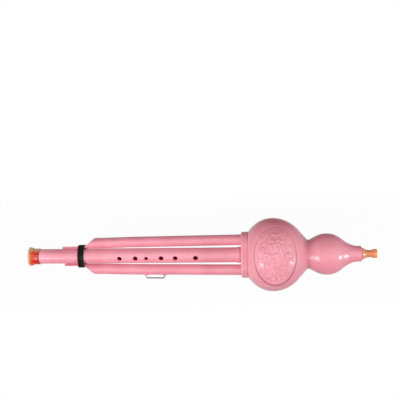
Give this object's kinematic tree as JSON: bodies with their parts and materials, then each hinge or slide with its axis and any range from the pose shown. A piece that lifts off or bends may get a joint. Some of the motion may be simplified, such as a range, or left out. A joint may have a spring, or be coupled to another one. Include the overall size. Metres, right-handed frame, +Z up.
{
  "type": "hulusi",
  "caption": "Gourd flute with a double-bulb wind chest, a finger-holed main pipe between drone pipes, free reeds inside, a waisted mouthpiece and a flared tail ferrule.",
  "frame": {"origin": "on the table under the middle of the instrument as it lies on its big bulb and its tail ferrule's rim", "axes": "+X from the tail to the mouthpiece, seen from above; +Z up, on the side of the medallion and the finger holes; +Y to the player's left drone"},
  "size_m": [0.4196, 0.0866, 0.0865],
  "materials": {
    "pink_plastic": "smooth moulded, soft gloss",
    "white_plastic": "moulded, matte",
    "amber_plastic": "translucent, polished",
    "red_amber_plastic": "translucent, polished, paler at the rim",
    "black_rubber": "smooth",
    "cork": "sanded cork",
    "brass": "brushed sheet",
    "steel": "bright drawn wire"
  },
  "bodies": {
    "gourd": {"gourd_front_shell": "pink_plastic", "gourd_back_shell": "pink_plastic"},
    "mouthpiece": {"mouthpiece": "amber_plastic", "mouthpiece_cork": "cork"},
    "stock": {"stock_collar": "pink_plastic", "stock_gasket": "black_rubber", "left_drone_pipe": "pink_plastic", "left_drone_seal": "black_rubber", "left_drone_reed_holder": "white_plastic", "left_drone_reed_plate": "brass", "right_drone_pipe": "pink_plastic", "right_drone_seal": "black_rubber", "right_drone_reed_holder": "white_plastic", "right_drone_reed_plate": "brass", "tassel_wire_loop": "steel"},
    "pipe_seal": {"main_pipe_seal": "black_rubber"},
    "main_pipe": {"main_pipe": "pink_plastic", "main_reed_holder": "white_plastic", "main_reed_plate": "brass", "tail_cork": "cork"},
    "tail_ferrule": {"tail_ferrule": "red_amber_plastic"},
    "band": {"binding_band": "black_rubber"}
  },
  "joints": [
    {"name": "mouthpiece_pull", "type": "slide", "parent": "gourd", "child": "mouthpiece", "axis": [0.9942, 0, 0.1072], "range_m": [0, 0.014]},
    {"name": "stock_pull", "type": "slide", "parent": "gourd", "child": "stock", "axis": [-0.9942, 0, -0.1072], "range_m": [0, 0.04]},
    {"name": "main_pipe_turn", "type": "hinge", "parent": "stock", "child": "pipe_seal", "pos_m": [0.05874, 0, 0.04008], "axis": [0.9942, 0, 0.1072], "continuous": true},
    {"name": "main_pipe_pull", "type": "slide", "parent": "pipe_seal", "child": "main_pipe", "axis": [-0.9942, 0, -0.1072], "range_m": [0, 0.05]},
    {"name": "tail_ferrule_pull", "type": "slide", "parent": "main_pipe", "child": "tail_ferrule", "axis": [-0.9942, 0, -0.1072], "range_m": [0, 0.01]},
    {"name": "band_slide", "type": "slide", "parent": "stock", "child": "band", "axis": [-0.9942, 0, -0.1072], "range_m": [0, 0.017]}
  ]
}
